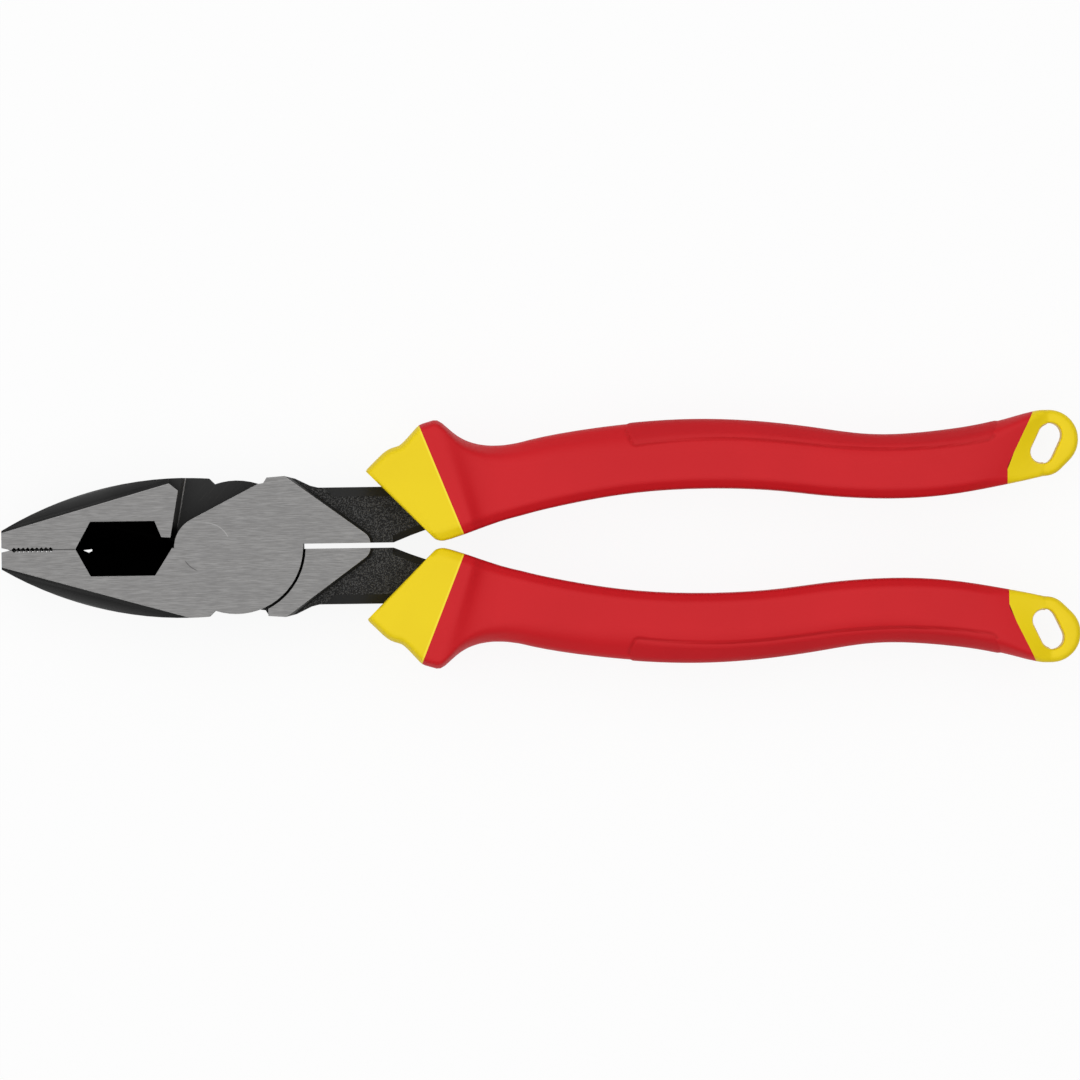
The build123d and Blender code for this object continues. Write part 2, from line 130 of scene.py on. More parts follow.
def mixColour(tree, factor, a, b):
    node = tree.nodes.new("ShaderNodeMix")
    node.data_type = "RGBA"
    for index, value in ((0, factor), (6, a), (7, b)):
        feed(tree, node.inputs[index], value)
    return node.outputs[2]


def mixValue(tree, factor, a, b):
    node = tree.nodes.new("ShaderNodeMix")
    node.data_type = "FLOAT"
    for index, value in ((0, factor), (2, a), (3, b)):
        feed(tree, node.inputs[index], value)
    return node.outputs[0]


def noise(tree, vector, scale, detail, roughness):
    node = tree.nodes.new("ShaderNodeTexNoise")
    for name, value in (("Vector", vector), ("Scale", scale), ("Detail", detail),
                        ("Roughness", roughness)):
        feed(tree, node.inputs[name], value)
    return node.outputs[0]


def mapped(tree, vector, scale=(1, 1, 1), turn=0.0, shift=(0, 0, 0)):
    node = tree.nodes.new("ShaderNodeMapping")
    for name, value in (("Vector", vector), ("Scale", scale), ("Rotation", (0, 0, turn)),
                        ("Location", shift)):
        feed(tree, node.inputs[name], value)
    return node.outputs[0]


def bump(tree, height, strength, distance, normal=None):
    node = tree.nodes.new("ShaderNodeBump")
    for name, value in (("Strength", strength), ("Distance", distance), ("Height", height),
                        ("Normal", normal)):
        feed(tree, node.inputs[name], value)
    return node.outputs[0]


def fromPivot(tree):
    # Millimetres from the rivet's centre, whole and by axis, and the way the surface faces
    coords = tree.nodes.new("ShaderNodeTexCoord")
    place = mapped(tree, coords.outputs["Object"], scale=(1 / mm,) * 3, shift=-pivot / mm)
    at = tree.nodes.new("ShaderNodeSeparateXYZ")
    tilt = tree.nodes.new("ShaderNodeSeparateXYZ")
    feed(tree, at.inputs[0], place)
    feed(tree, tilt.inputs[0], coords.outputs["Normal"])
    return place, at.outputs, tilt.outputs


def makeGroup(name, inputs, outputs):
    group = bpy.data.node_groups.new(name, "ShaderNodeTree")
    for label, kind, value in inputs:
        socket = group.interface.new_socket(label, in_out="INPUT", socket_type=kind)
        if value is not None:
            socket.default_value = value
    for label, kind in outputs:
        group.interface.new_socket(label, in_out="OUTPUT", socket_type=kind)
    enter = group.nodes.new("NodeGroupInput")
    leave = group.nodes.new("NodeGroupOutput")
    return group, enter.outputs, leave.inputs


def makeBrushing():
    # Long fine scratches from a grinding belt, with a few broader streaks. Sizes are in millimetres
    streakScale = 0.22
    group, given, result = makeGroup(
        "brushing",
        [("Vector", "NodeSocketVector", None), ("Pitch", "NodeSocketFloat", 0.3),
         ("Length", "NodeSocketFloat", 12.0)],
        [("Fine", "NodeSocketFloat"), ("Streak", "NodeSocketFloat")])
    across = calc(group, "DIVIDE", 1.0, given["Pitch"])
    along = calc(group, "DIVIDE", 1.0, given["Length"])
    scale = group.nodes.new("ShaderNodeCombineXYZ")
    for socket, value in zip(scale.inputs, (along, across, across)):
        feed(group, socket, value)
    scaled = group.nodes.new("ShaderNodeVectorMath")
    scaled.operation = "MULTIPLY"
    feed(group, scaled.inputs[0], given["Vector"])
    feed(group, scaled.inputs[1], scale.outputs[0])
    feed(group, result["Fine"], noise(group, scaled.outputs[0], 1.0, detail=3.0, roughness=0.65))
    feed(group, result["Streak"],
         noise(group, scaled.outputs[0], streakScale, detail=2.0, roughness=0.6))
    return group


def makeMottle():
    # Cloudy, slow change of tone with a fine tooth over it. Sizes are in millimetres
    group, given, result = makeGroup(
        "mottle",
        [("Vector", "NodeSocketVector", None), ("Size", "NodeSocketFloat", 12.0),
         ("Tooth", "NodeSocketFloat", 0.4)],
        [("Cloud", "NodeSocketFloat"), ("Tooth", "NodeSocketFloat")])
    cloud = calc(group, "DIVIDE", 1.0, given["Size"])
    tooth = calc(group, "DIVIDE", 1.0, given["Tooth"])
    feed(group, result["Cloud"], noise(group, given["Vector"], cloud, detail=2.0, roughness=0.5))
    feed(group, result["Tooth"], noise(group, given["Vector"], tooth, detail=3.0, roughness=0.6))
    return group


brushing = makeBrushing()
mottle = makeMottle()


def useGroup(tree, group, **values):
    node = tree.nodes.new("ShaderNodeGroup")
    node.node_tree = group
    for name, value in values.items():
        feed(tree, node.inputs[name], value)
    return node.outputs


# Colours first. A pair is the two limits that a mask fades between, and a tilt is 0 for a surface
# that stands upright and 1 for one that lies flat
steelLook = {
    "ground": (0.287, 0.283, 0.28, 1),
    "groundDark": (0.185, 0.182, 0.18, 1),
    # Painted highlight, lighter than the ground steel, on the ground faces' broken edges and on one
    # arc of the rivet's edge
    "edgeGlint": (0.46, 0.455, 0.45, 1),
    "oxide": (0.006, 0.006, 0.006, 1),
    "oxideLight": (0.012, 0.012, 0.012, 1),
    "speck": (0.066, 0.065, 0.064, 1),
    "shankEdge": (0.018, 0.018, 0.018, 1),
    "scratch": (0.024, 0.023, 0.022, 1),
    # Painted shade: the hairline where the jaws meet, and the shaded arc of the rivet's edge
    "contact": (0.05, 0.05, 0.05, 1),
    "stopWall": (0.05, 0.049, 0.047, 1),
    # A painted highlight along the foot of the stop's wall
    "stopGlint": (0.5, 0.49, 0.48, 1),
    # Near black: painted shade filling the cutter pocket, and also the dark end of the shank's
    # grain
    "pocket": (0.0022, 0.0022, 0.0022, 1),
    "brushPitch": 0.17,
    "brushLength": 3.2,
    "brushContrast": (0.35, 0.65),
    "streakContrast": (0.35, 0.7),
    "streakAmount": 0.4,
    "lapPitch": 0.3,
    "lapLength": 5.0,
    "lapTurn": -48.0,
    "lapContrast": (0.55, 0.72),
    "cloudSize": 9.0,
    "grainSize": 0.27,
    "grainContrast": (0.48, 0.6),
    "flatTilt": (0.93, 0.985),
    "grainTilt": (0.82, 0.95),
    "faceBand": 0.05,                   # how far below the ground face its rim shows
    "lapBand": 0.2,                     # how near the middle plane the lap faces lie
    "shankStart": (17.0, 18.0),
    "pocketBox": ((-30.6, -7.6), (-6.7, 6.7), (-8.0, 7.7)),     # x, y and z
    "pocketFade": 0.15,
    "contactLine": (0.07, 0.14),        # half the width of the painted shade line between the jaws
    "contactReach": (-29.0, -28.0),     # and where it ends, before the pocket
    "wallTilt": (0.85, 0.93),           # the stop's wall, which faces the handles
    "wallReach": (-9.5, -4.0),
    "wallFade": 0.2,
    "wallSide": (4.0, 6.0),
    "wallFoot": (0.9, 1.5),             # the painted highlight line along its foot, by height
    "rivetRadius": 5.7,
    "rivetWidth": 0.12,
    "rivetFade": 0.08,
    # Degrees round the rivet where its edge shows, with the tone and its strength: a painted
    # highlight on one arc and painted shade on the other
    "rivetArcs": [(30, 85, "edgeGlint", 0.45), (217, 243, "contact", 0.7)],
    "arcFade": 0.15,                    # radians
    "metal": 0.55,
    "rough": 0.5,
    "roughGround": (0.38, 0.48),
    "roughContrast": (0.25, 0.75),
    "specular": 0.25,
    "brushDepth": (0.3, 0.00003),       # strength and distance of the bump
    "grainDepth": (1.0, 0.00025),
    "lapDepth": (0.6, 0.00006),
}


def steelMasks(tree, at, tilt, look):
    # Each surface of the forging, told by its place and the way it faces
    up, height, side = (absolute(tree, value) for value in (tilt["Z"], at["Z"], at["Y"]))
    band, lapBand = look["faceBand"], look["lapBand"]
    flat = ramp(tree, up, *look["flatTilt"])
    top = ramp(tree, height, halfHead - band * 2, halfHead - band)
    shank = ramp(tree, at["X"], *look["shankStart"])
    wall = every(tree, ramp(tree, tilt["X"], *look["wallTilt"]),
                 between(tree, at["X"], *look["wallReach"], look["wallFade"]),
                 ramp(tree, side, *look["wallSide"]))
    return {
        "ground": every(tree, flat, top),
        "rim": every(tree, top, inverse(tree, flat)),
        "lap": every(tree, flat, fade(tree, height, lapBand, lapBand * 2)),
        "shank": shank,
        "grainy": every(tree, ramp(tree, up, *look["grainTilt"]), shank, inverse(tree, top)),
        "wall": wall,
        "foot": every(tree, wall, fade(tree, height, *look["wallFoot"])),
        "meeting": every(tree, fade(tree, side, *look["contactLine"]),
                         fade(tree, at["X"], *look["contactReach"])),
        # The cutter pocket, painted near black as shade
        "pocket": every(tree, *(between(tree, at[axis], *limits, look["pocketFade"])
                                for axis, limits in zip("XYZ", look["pocketBox"]))),
    }


def drawRivetEdge(tree, at, look, tone):
    # The flush rivet's edge, which only shows on part of its circle, as a painted highlight on one
    # arc and painted shade on another
    turn = radians(360)
    angle = calc(tree, "ADD", calc(tree, "ARCTAN2", at["Y"], at["X"]), turn)
    angle = calc(tree, "MODULO", angle, turn)
    squares = [calc(tree, "MULTIPLY", at[axis], at[axis]) for axis in "XY"]
    radius = calc(tree, "SQRT", calc(tree, "ADD", *squares))
    inside, outside = (look["rivetRadius"] + half * look["rivetWidth"] for half in (-0.5, 0.5))
    line = between(tree, radius, inside, outside, look["rivetFade"])
    for start, end, colour, strength in look["rivetArcs"]:
        arc = between(tree, angle, radians(start), radians(end), look["arcFade"])
        shown = calc(tree, "MULTIPLY", every(tree, arc, line), strength)
        tone = mixColour(tree, shown, tone, look[colour])
    return tone


def makeForgedSteel(name, look):
    material, tree, shader = startMaterial(name)
    place, at, tilt = fromPivot(tree)
    masks = steelMasks(tree, at, tilt, look)
    lapPlace = mapped(tree, place, turn=radians(look["lapTurn"]))
    brush = useGroup(tree, brushing, Vector=place, Pitch=look["brushPitch"],
                     Length=look["brushLength"])
    marks = useGroup(tree, brushing, Vector=lapPlace, Pitch=look["lapPitch"],
                     Length=look["lapLength"])
    cloud = useGroup(tree, mottle, Vector=place, Size=look["cloudSize"])
    grain = noise(tree, place, 1 / look["grainSize"], detail=2.0, roughness=0.6)

    def tone(pattern, contrast, low, high, amount=1.0):
        # From the first colour to the second as the pattern gets brighter
        return mixColour(tree, ramp(tree, pattern, *contrast, 0.0, amount), low, high)

    ground = tone(brush["Fine"], look["brushContrast"], look["groundDark"], look["ground"])
    ground = tone(brush["Streak"], look["streakContrast"], ground, look["groundDark"],
                  look["streakAmount"])
    # Painted shade along the line where the jaws meet
    ground = mixColour(tree, masks["meeting"], ground, look["contact"])
    ground = drawRivetEdge(tree, at, look, ground)

    colour = tone(cloud["Cloud"], patternSpan, look["oxide"], look["oxideLight"])
    for key, layer in (
            ("lap", tone(marks["Fine"], look["lapContrast"], look["oxideLight"], look["scratch"])),
            ("shank", look["shankEdge"]),
            ("grainy", tone(grain, look["grainContrast"], look["pocket"], look["speck"])),
            ("wall", look["stopWall"]),
            # Painted highlight along the stop wall's foot
            ("foot", look["stopGlint"]),
            # Painted shade over the cutter pocket
            ("pocket", look["pocket"]),
            ("ground", ground),
            # The ground faces' broken edges get a painted highlight
            ("rim", look["edgeGlint"])):
        colour = mixColour(tree, masks[key], colour, layer)
    feed(tree, shader.inputs["Base Color"], colour)

    bare = calc(tree, "MAXIMUM", masks["ground"], masks["rim"])
    # The pocket is also made fully metallic, so that with its black colour it reflects nothing:
    # painted shade
    metal = calc(tree, "MAXIMUM", calc(tree, "MULTIPLY", bare, look["metal"]), masks["pocket"])
    feed(tree, shader.inputs["Metallic"], metal)
    roughGround = ramp(tree, brush["Fine"], *look["roughContrast"], *look["roughGround"])
    feed(tree, shader.inputs["Roughness"], mixValue(tree, bare, look["rough"], roughGround))
    shader.inputs["Specular IOR Level"].default_value = look["specular"]
    relief = bump(tree, every(tree, brush["Fine"], masks["ground"]), *look["brushDepth"])
    relief = bump(tree, every(tree, grain, masks["grainy"]), *look["grainDepth"], relief)
    relief = bump(tree, every(tree, marks["Fine"], masks["lap"]), *look["lapDepth"], relief)
    feed(tree, shader.inputs["Normal"], relief)
    return material


# What the three moulded finishes share, and then each one's own: its tones, the size and depth of
# its fine tooth, and how rough the low and the high spots are
mouldedLook = {"cloudSize": 22.0, "toothStrength": 0.5, "specular": 0.2}
redLook = {
    "base": (0.645, 0.0105, 0.0165, 1),
    "deep": (0.615, 0.0095, 0.015, 1),
    "tooth": 0.35,
    "toothDepth": 0.00003,
    "rough": (0.46, 0.54),
    "grooveShade": (0.53, 0.008, 0.012, 1),      # painted shade in the groove round the pad
    "grooveWidth": 0.9,
    "grooveDepth": 0.0002,
}
padLook = {
    "base": (0.60, 0.0095, 0.0155, 1),
    "deep": (0.565, 0.009, 0.0145, 1),
    "tooth": 0.28,
    "toothDepth": 0.00004,
    "rough": (0.5, 0.6),
}
yellowLook = {
    "base": (0.91, 0.685, 0.006, 1),
    "deep": (0.88, 0.65, 0.005, 1),
    "tooth": 0.3,
    "toothDepth": 0.00002,
    "rough": (0.4, 0.48),
    "seamTone": (0.98, 0.78, 0.035, 1),         # the pale line where the guard meets the jacket
    "seamLean": 0.4,
    "seamPlace": (60.6, 61.5),
    "seamFade": 0.1,
}


def makeMoulding(name, look):
    look = {**mouldedLook, **look}
    material, tree, shader = startMaterial(name)
    place, at, _ = fromPivot(tree)
    tone = useGroup(tree, mottle, Vector=place, Size=look["cloudSize"], Tooth=look["tooth"])
    colour = mixColour(tree, ramp(tree, tone["Cloud"], *patternSpan), look["deep"], look["base"])
    relief = bump(tree, tone["Tooth"], look["toothStrength"], look["toothDepth"])
    if "grooveShade" in look:
        gap = tree.nodes.new("ShaderNodeAttribute")
        gap.attribute_name = "padGap"
        wall = ramp(tree, gap.outputs["Fac"], 0.0, look["grooveWidth"])
        # The groove round the pad is painted darker as shade, with a real bump
        colour = mixColour(tree, wall, look["grooveShade"], colour)
        relief = bump(tree, wall, 1.0, look["grooveDepth"], relief)
    if "seamTone" in look:
        seam = calc(tree, "ADD", at["X"],
                    calc(tree, "MULTIPLY", absolute(tree, at["Y"]), look["seamLean"]))
        line = between(tree, seam, *look["seamPlace"], look["seamFade"])
        colour = mixColour(tree, line, colour, look["seamTone"])
    feed(tree, shader.inputs["Base Color"], colour)
    rough = ramp(tree, tone["Tooth"], *patternSpan, *look["rough"])
    feed(tree, shader.inputs["Roughness"], rough)
    shader.inputs["Specular IOR Level"].default_value = look["specular"]
    feed(tree, shader.inputs["Normal"], relief)
    return material


finishes = {
    "forged_steel": makeForgedSteel("forgedSteel", steelLook),
    "rivet_steel": makeForgedSteel("rivetSteel", steelLook),
    "yellow_sleeve": makeMoulding("yellowMoulding", yellowLook),
    "red_grip": makeMoulding("redMoulding", redLook),
    "red_pad": makeMoulding("padMoulding", padLook),
}
print("materials made:", len(finishes))


forging = {
    "mergeDistance": 0.002,
    "mergeAngle": 0.6,          # degrees
    "width": 0.07,              # of the bevel that breaks the edges
    "segments": 2,
    "angle": 25,                # only edges that turn by more degrees are broken
    "shortest": 0.2,            # shorter edges stay sharp
    "sliver": 0.003,
    "bore": 6.2,                # edges this near the rivet stay sharp
    "biteStart": -3.0,
    "biteHalf": 0.03,           # how far the jaws stand from their contact line
    "biteSharp": 0.8,           # edges this near the contact line stay sharp
    "teeth": (-45.4, -35.0),
    "toothHalf": 0.75,
    "toothLean": 0.85,
    "toothSkew": 0.53,
    # Two corners of the step, where they are and where they go
    "step": {(-8.8, 1.46): (-10.35, 2.6), (-8.8, 2.45): (-9.6, 2.5)},
    "stepReach": 0.05,
}


def mergedCopy(nodeName):
    # A CAD node's loose triangles, made one skin
    shape = bmesh.new()
    shape.from_mesh(nodes[nodeName].data)
    bmesh.ops.remove_doubles(shape, verts=shape.verts, dist=forging["mergeDistance"] * mm)
    bmesh.ops.dissolve_limit(shape, angle_limit=radians(forging["mergeAngle"]), verts=shape.verts,
                             edges=shape.edges)
    return shape


def makeMesh(shape, name):
    mesh = bpy.data.meshes.new(name)
    shape.to_mesh(mesh)
    shape.free()
    return mesh


def placeObject(name, data):
    placed = bpy.data.objects.new(name, data)
    bpy.context.scene.collection.objects.link(placed)
    return placed


def addPiece(shape, name, body, slot, nodeName=None):
    mesh = makeMesh(shape, name)
    mesh.polygons.foreach_set("use_smooth", [True] * len(mesh.polygons))
    mesh.set_sharp_from_angle(angle=radians(shadeAngle))
    mesh.materials.append(finishes[slot])
    piece = placeObject(name, mesh)
    even = piece.modifiers.new("evenShading", "WEIGHTED_NORMAL")
    even.keep_sharp = True
    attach(piece, body)
    if nodeName:
        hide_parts(nodeName)
    return piece


def closeBite(shape, settings):
    # The jaws meet along one line, and the teeth lean, so that no light comes through
    low, high = settings["teeth"]
    for vert in shape.verts:
        x, y, z = (vert.co - pivot) / mm
        if x < settings["biteStart"] and abs(y) < settings["biteHalf"]:
            vert.co.y = pivot.y
        if low < x < high and abs(y) < settings["toothHalf"] and z < 0:
            vert.co.y -= settings["toothLean"] * mm
            vert.co.x += settings["toothSkew"] * mm


def openStep(shape, settings):
    # The cutter pocket's upper corner runs down to a step beside the disc
    reach = settings["stepReach"]
    for vert in shape.verts:
        x, y, _ = (vert.co - pivot) / mm
        for (oldX, oldY), (newX, newY) in settings["step"].items():
            if abs(x - oldX) < reach and abs(abs(y) - oldY) < reach:
                vert.co.x = pivot.x + newX * mm
                vert.co.y = pivot.y + newY * mm * (1 if y > 0 else -1)


def isBroken(edge, settings):
    middle = (edge.verts[0].co + edge.verts[1].co) / 2 - pivot
    nearRivet = middle.xy.length < settings["bore"] * mm
    inBite = middle.x < 0 and abs(middle.y) < settings["biteSharp"] * mm
    isLong = edge.calc_length() >= settings["shortest"] * mm
    isCorner = edge.is_manifold and edge.calc_face_angle() >= radians(settings["angle"])
    return isCorner and isLong and not nearRivet and not inBite


def softenEdges(shape, settings):
    # The forging's edges are broken by a fine bevel, and nothing leaves the CAD box
    broken = [edge for edge in shape.edges if isBroken(edge, settings)]
    bmesh.ops.bevel(shape, geom=broken, offset=settings["width"] * mm, offset_type="OFFSET",
                    segments=settings["segments"], profile=0.5, affect="EDGES")
    bmesh.ops.dissolve_degenerate(shape, dist=settings["sliver"] * mm, edges=shape.edges)
    for vert in shape.verts:
        vert.co.x = max(vert.co.x, cadBox[0][0])


for prefix in halves:
    shape = mergedCopy(prefix + "_half")
    closeBite(shape, forging)
    openStep(shape, forging)
    softenEdges(shape, forging)
    addPiece(shape, prefix + "_half_forging", prefix + "_body", "forged_steel", prefix + "_half")
nodes["rivet"].data.materials.clear()
nodes["rivet"].data.materials.append(finishes["rivet_steel"])
print("forgings dressed")


handle = {
    # Where each cross-section plane meets y = 0 and y = fanWidth, from the guard's face to the neck
    "fan": [(54.5, 24.0), (54.9, 36.6), (56.4, 41.7), (61.0, 49.0), (66.0, 59.2), (74.0, 72.0),
            (100.0, 100.0), (160.0, 160.0), (178.5, 193.1), (194.3, 196.5)],
    "fanWidth": 30.0,
    "seamPlane": 3,             # where the guard ends and the jacket starts
    "tailPlane": 8,             # where the jacket ends and the eye starts
    "tailStep": 186.5,          # the tail seam turns square here, near the inner edge
    "firstRing": 0.35,
    "spacing": 0.7,
    # Bevels of the section, by distance along the handle. A full bevel also lowers its own side
    "innerBevel": [(183.0, 2.2), (190.0, 0.8)],
    "innerShare": [(50.0, 0.09), (72.0, 0.17)],
    "innerFull": 2.2,
    "outerBevel": [(39.0, 1.0), (58.0, 1.2), (75.0, 3.8), (100.0, 4.8), (150.0, 4.2), (180.0, 3.0),
                   (192.0, 0.8)],
    "outerShare": 0.36,
    "outerFull": 2.5,
    "cuts": (0.9, 0.8, 3.4, 1.7),       # how far from each corner its rounding starts,
    "cutShare": 0.45,                   # and the most of a side that it may take
    "cornerPoints": 7,
    "facePoints": 14,
    "guardLip": 0.45,
    "padLeast": 0.5,            # the pad starts where it is this wide
    "padPoints": 44,
    "padRise": 0.3,             # above the jacket
    "padLip": 0.9,              # width of its rounded edge
    "padRound": 0.6,
    "padSink": 0.06,            # how far that edge goes under the jacket's surface
    "padDepth": 0.5,
}


def planeAt(middle):
    # The section plane that crosses the middle of the fan this far along the handle
    fan = np.array(handle["fan"])
    return [float(np.interp(middle, fan.mean(axis=1), fan[:, side])) for side in (0, 1)]


def planeX(plane, y):
    low, high = plane
    return low + (high - low) * y / handle["fanWidth"]


def planeLean(plane):
    low, high = plane
    return (high - low) / handle["fanWidth"]


def pointsOf(mesh):
    return (np.array([vert.co for vert in mesh.vertices]) - np.array(pivot)) / mm


def edgeEnds(nodeName):
    mesh = nodes[nodeName].data
    pairs = np.array([edge.vertices[:] for edge in mesh.edges])
    return pointsOf(mesh)[pairs]


def crossing(ends, plane):
    # The points where a node's edges cross a section plane
    side = ends[:, :, 0] - planeX(plane, ends[:, :, 1])
    cut = side[:, 0] * side[:, 1] < 0
    share = side[cut, 0] / (side[cut, 0] - side[cut, 1])
    return ends[cut, 0] + (ends[cut, 1] - ends[cut, 0]) * share[:, None]


def pointAlong(path, place):
    # A point of the path by its number, which may fall between two of them
    return [np.interp(place, np.arange(len(path)), path[:, axis]) for axis in range(3)]


def roundedPath(corners, cuts, count):
    # A path through the corners, each one turned on a curve
    path = []
    for corner, previous, following, cut in zip(corners[1:-1], corners, corners[2:], cuts):
        before, after = previous - corner, following - corner
        sides = np.linalg.norm(before), np.linalg.norm(after)
        cut = min(cut, *(handle["cutShare"] * side for side in sides))
        start = corner + before / sides[0] * cut
        end = corner + after / sides[1] * cut
        for t in np.linspace(0, 1, count):
            path.append((1 - t) ** 2 * start + 2 * t * (1 - t) * corner + t ** 2 * end)
    return path


def halfSection(halfWidth, halfThick, innerBevel, innerShare, outerBevel):
    # From the middle of the inner side, over the broad face, to the middle of the outer side
    innerDrop = halfThick * innerShare * innerBevel / handle["innerFull"]
    outerDrop = halfThick * handle["outerShare"] * min(1, outerBevel / handle["outerFull"])
    corners = np.array([
        (-halfWidth, 0), (-halfWidth, halfThick - innerDrop), (innerBevel - halfWidth, halfThick),
        (halfWidth - outerBevel, halfThick), (halfWidth, halfThick - outerDrop), (halfWidth, 0)])
    path = roundedPath(corners, handle["cuts"], handle["cornerPoints"])
    turn = 2 * handle["cornerPoints"]
    face = [path[turn - 1] + (path[turn] - path[turn - 1]) * t
            for t in np.linspace(0, 1, handle["facePoints"] + 2)[1:-1]]
    return [corners[0]] + path[:turn] + face + path[turn:] + [corners[-1]]


def smoothed(values):
    kernel = np.array([1, 2, 1]) / 4
    return np.convolve(np.pad(values, 1, mode="edge"), kernel, mode="valid")


def readHandle():
    # Sections of the CAD handle, as inner edge, outer edge, height and the pad's edge
    fan = np.array(handle["fan"]).mean(axis=1)
    seam, tail = fan[handle["seamPlane"]], fan[handle["tailPlane"]]
    middles, marks = [], []
    for start, end in ((fan[0] + handle["firstRing"], seam), (seam, tail), (tail, fan[-1])):
        marks.append(len(middles))
        middles += list(np.linspace(start, end, int((end - start) / handle["spacing"]))[:-1])
    ends = {part: edgeEnds("front_" + part) for part in ("sleeve", "grip", "pad")}
    inner, outer, height, padEdge = [], [], [], []
    for middle in middles:
        cuts = {part: crossing(ends[part], planeAt(middle)) for part in ends}
        body = np.concatenate([cuts["sleeve"], cuts["grip"]])
        pad = cuts["pad"]
        underPad = pad[:, 1].max() - handle["padRise"] if len(pad) else 0
        inner.append(body[:, 1].min())
        outer.append(max(body[:, 1].max(), underPad))
        height.append(body[:, 2].max())
        padEdge.append(pad[:, 1].min() if len(pad) else np.nan)
    return middles, marks[1:], smoothed(inner), smoothed(outer), smoothed(height), np.array(padEdge)


middles, (seamRing, tailRing), innerEdge, outerEdge, faceHeight, padEdge = readHandle()


def sectionRing(index):
    # The rounded section on one plane, as points round the handle
    plane = planeAt(middles[index])
    lean = planeLean(plane)
    slope = np.hypot(lean, 1)
    middle = (innerEdge[index] + outerEdge[index]) / 2
    halfWidth = (outerEdge[index] - innerEdge[index]) / 2 * slope
    bevels = [np.interp(middles[index], *np.array(handle[name]).T)
              for name in ("innerBevel", "innerShare", "outerBevel")]
    half = halfSection(halfWidth, faceHeight[index], *bevels)
    points = []
    for across, up in half + [(across, -up) for across, up in half[-2:0:-1]]:
        y = middle + across / slope
        points.append((plane[0] + lean * y, y, up))
    return np.array(points)


rings = np.array([sectionRing(index) for index in range(len(middles))])


def ringOnSeam():
    # Each line along the handle, followed to the tail seam
    tailPlane = handle["fan"][handle["tailPlane"]]
    ring = []
    for line in rings.transpose(1, 0, 2):
        seam = np.maximum(planeX(tailPlane, line[:, 1]), handle["tailStep"])
        place = np.interp(0, line[:, 0] - seam, np.arange(len(line)))
        ring.append(pointAlong(line, place))
    return np.array(ring)


def turned(points, side):
    return points * np.array([1, side, side])


def addRings(shape, loops, side):
    # Closed rings of points, joined in order and capped at both ends, with the faces outwards
    rows = [[shape.verts.new(pivot + Vector(turned(point, side)) * mm) for point in loop]
            for loop in loops]
    faces = []
    for row, following in zip(rows, rows[1:]):
        for index in range(len(row)):
            after = (index + 1) % len(row)
            corners = (row[index], row[after], following[after], following[index])
            faces.append(shape.faces.new(corners))
    faces += [shape.faces.new(rows[0]), shape.faces.new(rows[-1])]
    bmesh.ops.recalc_face_normals(shape, faces=faces)


def insetRing(ring, amount):
    # A ring drawn in towards its middle by this much
    centre = ring.mean(axis=0)
    reach = np.linalg.norm(ring - centre, axis=1)[:, None]
    return centre + (ring - centre) * (1 - amount / reach)


def padLoops():
    # The pad is a thin skin over the jacket's outer edge, down to its own edge on both faces
    loops, border = [], []
    stations = np.flatnonzero(padEdge < outerEdge - handle["padLeast"])
    middle = rings.shape[1] // 2
    for order, index in enumerate(stations):
        ring = rings[index]
        half = ring[:middle + 1]
        first = np.interp(padEdge[index], half[:, 1], np.arange(len(half)))
        places = np.linspace(first, 2 * middle - first, handle["padPoints"])
        path = np.array([pointAlong(ring, place) for place in places])
        run = np.gradient(path, axis=0)
        away = np.stack([np.zeros(len(path)), -run[:, 2], run[:, 1]], axis=1)
        away /= np.linalg.norm(away, axis=1)[:, None]
        steps = np.linalg.norm(np.diff(path, axis=0), axis=1)
        along = np.concatenate([[0], np.cumsum(steps)])
        fromEnd = min(order, len(stations) - 1 - order) * handle["spacing"]
        fromEdge = np.minimum(np.minimum(along, along[-1] - along), fromEnd) / handle["padLip"]
        rise = np.clip(fromEdge, 0, 1) ** handle["padRound"] * handle["padRise"]
        top = path + away * (rise - handle["padSink"])[:, None]
        under = path - away * handle["padDepth"]
        loops.append(np.concatenate([top, under[::-1]]))
        border.append(path[0])
    return loops, np.array(border)


padRings, padBorder = padLoops()


def gapToPad(points):
    # Each point's distance, seen from above, to the line round the pad
    flat = points[:, :2]
    nearest = np.full(len(flat), np.inf)
    for start, end in zip(padBorder[:-1, :2], padBorder[1:, :2]):
        way = end - start
        share = np.clip(((flat - start) @ way) / (way @ way), 0, 1)
        nearest = np.minimum(nearest, np.linalg.norm(flat - start - share[:, None] * way, axis=1))
    return nearest


def markGap(piece, side):
    # The red finish reads this to shade the groove round the pad
    gap = piece.data.attributes.new("padGap", "FLOAT", "POINT")
    gap.data.foreach_set("value", gapToPad(turned(pointsOf(piece.data), side)))


eyeLook = {
    "start": 181.0,         # where the CAD sleeve is cut
    "overlap": 2.0,         # how far before that the handle's tail starts
    "voxel": 0.3,
    "smooth": 14,
    "slotMiddle": (195.6, 21.6),
    "slotLean": 25.4,
    "slotHalf": 2.2,        # from the slot's middle to the centre of each round end
    # Height above the middle plane and radius: the slot narrows inwards, as a moulded one does
    "slotProfile": [(-9.0, 2.9), (-4.8, 2.8), (0.0, 2.42), (4.8, 2.8), (9.0, 2.9)],
    "slotPoints": 17,
}


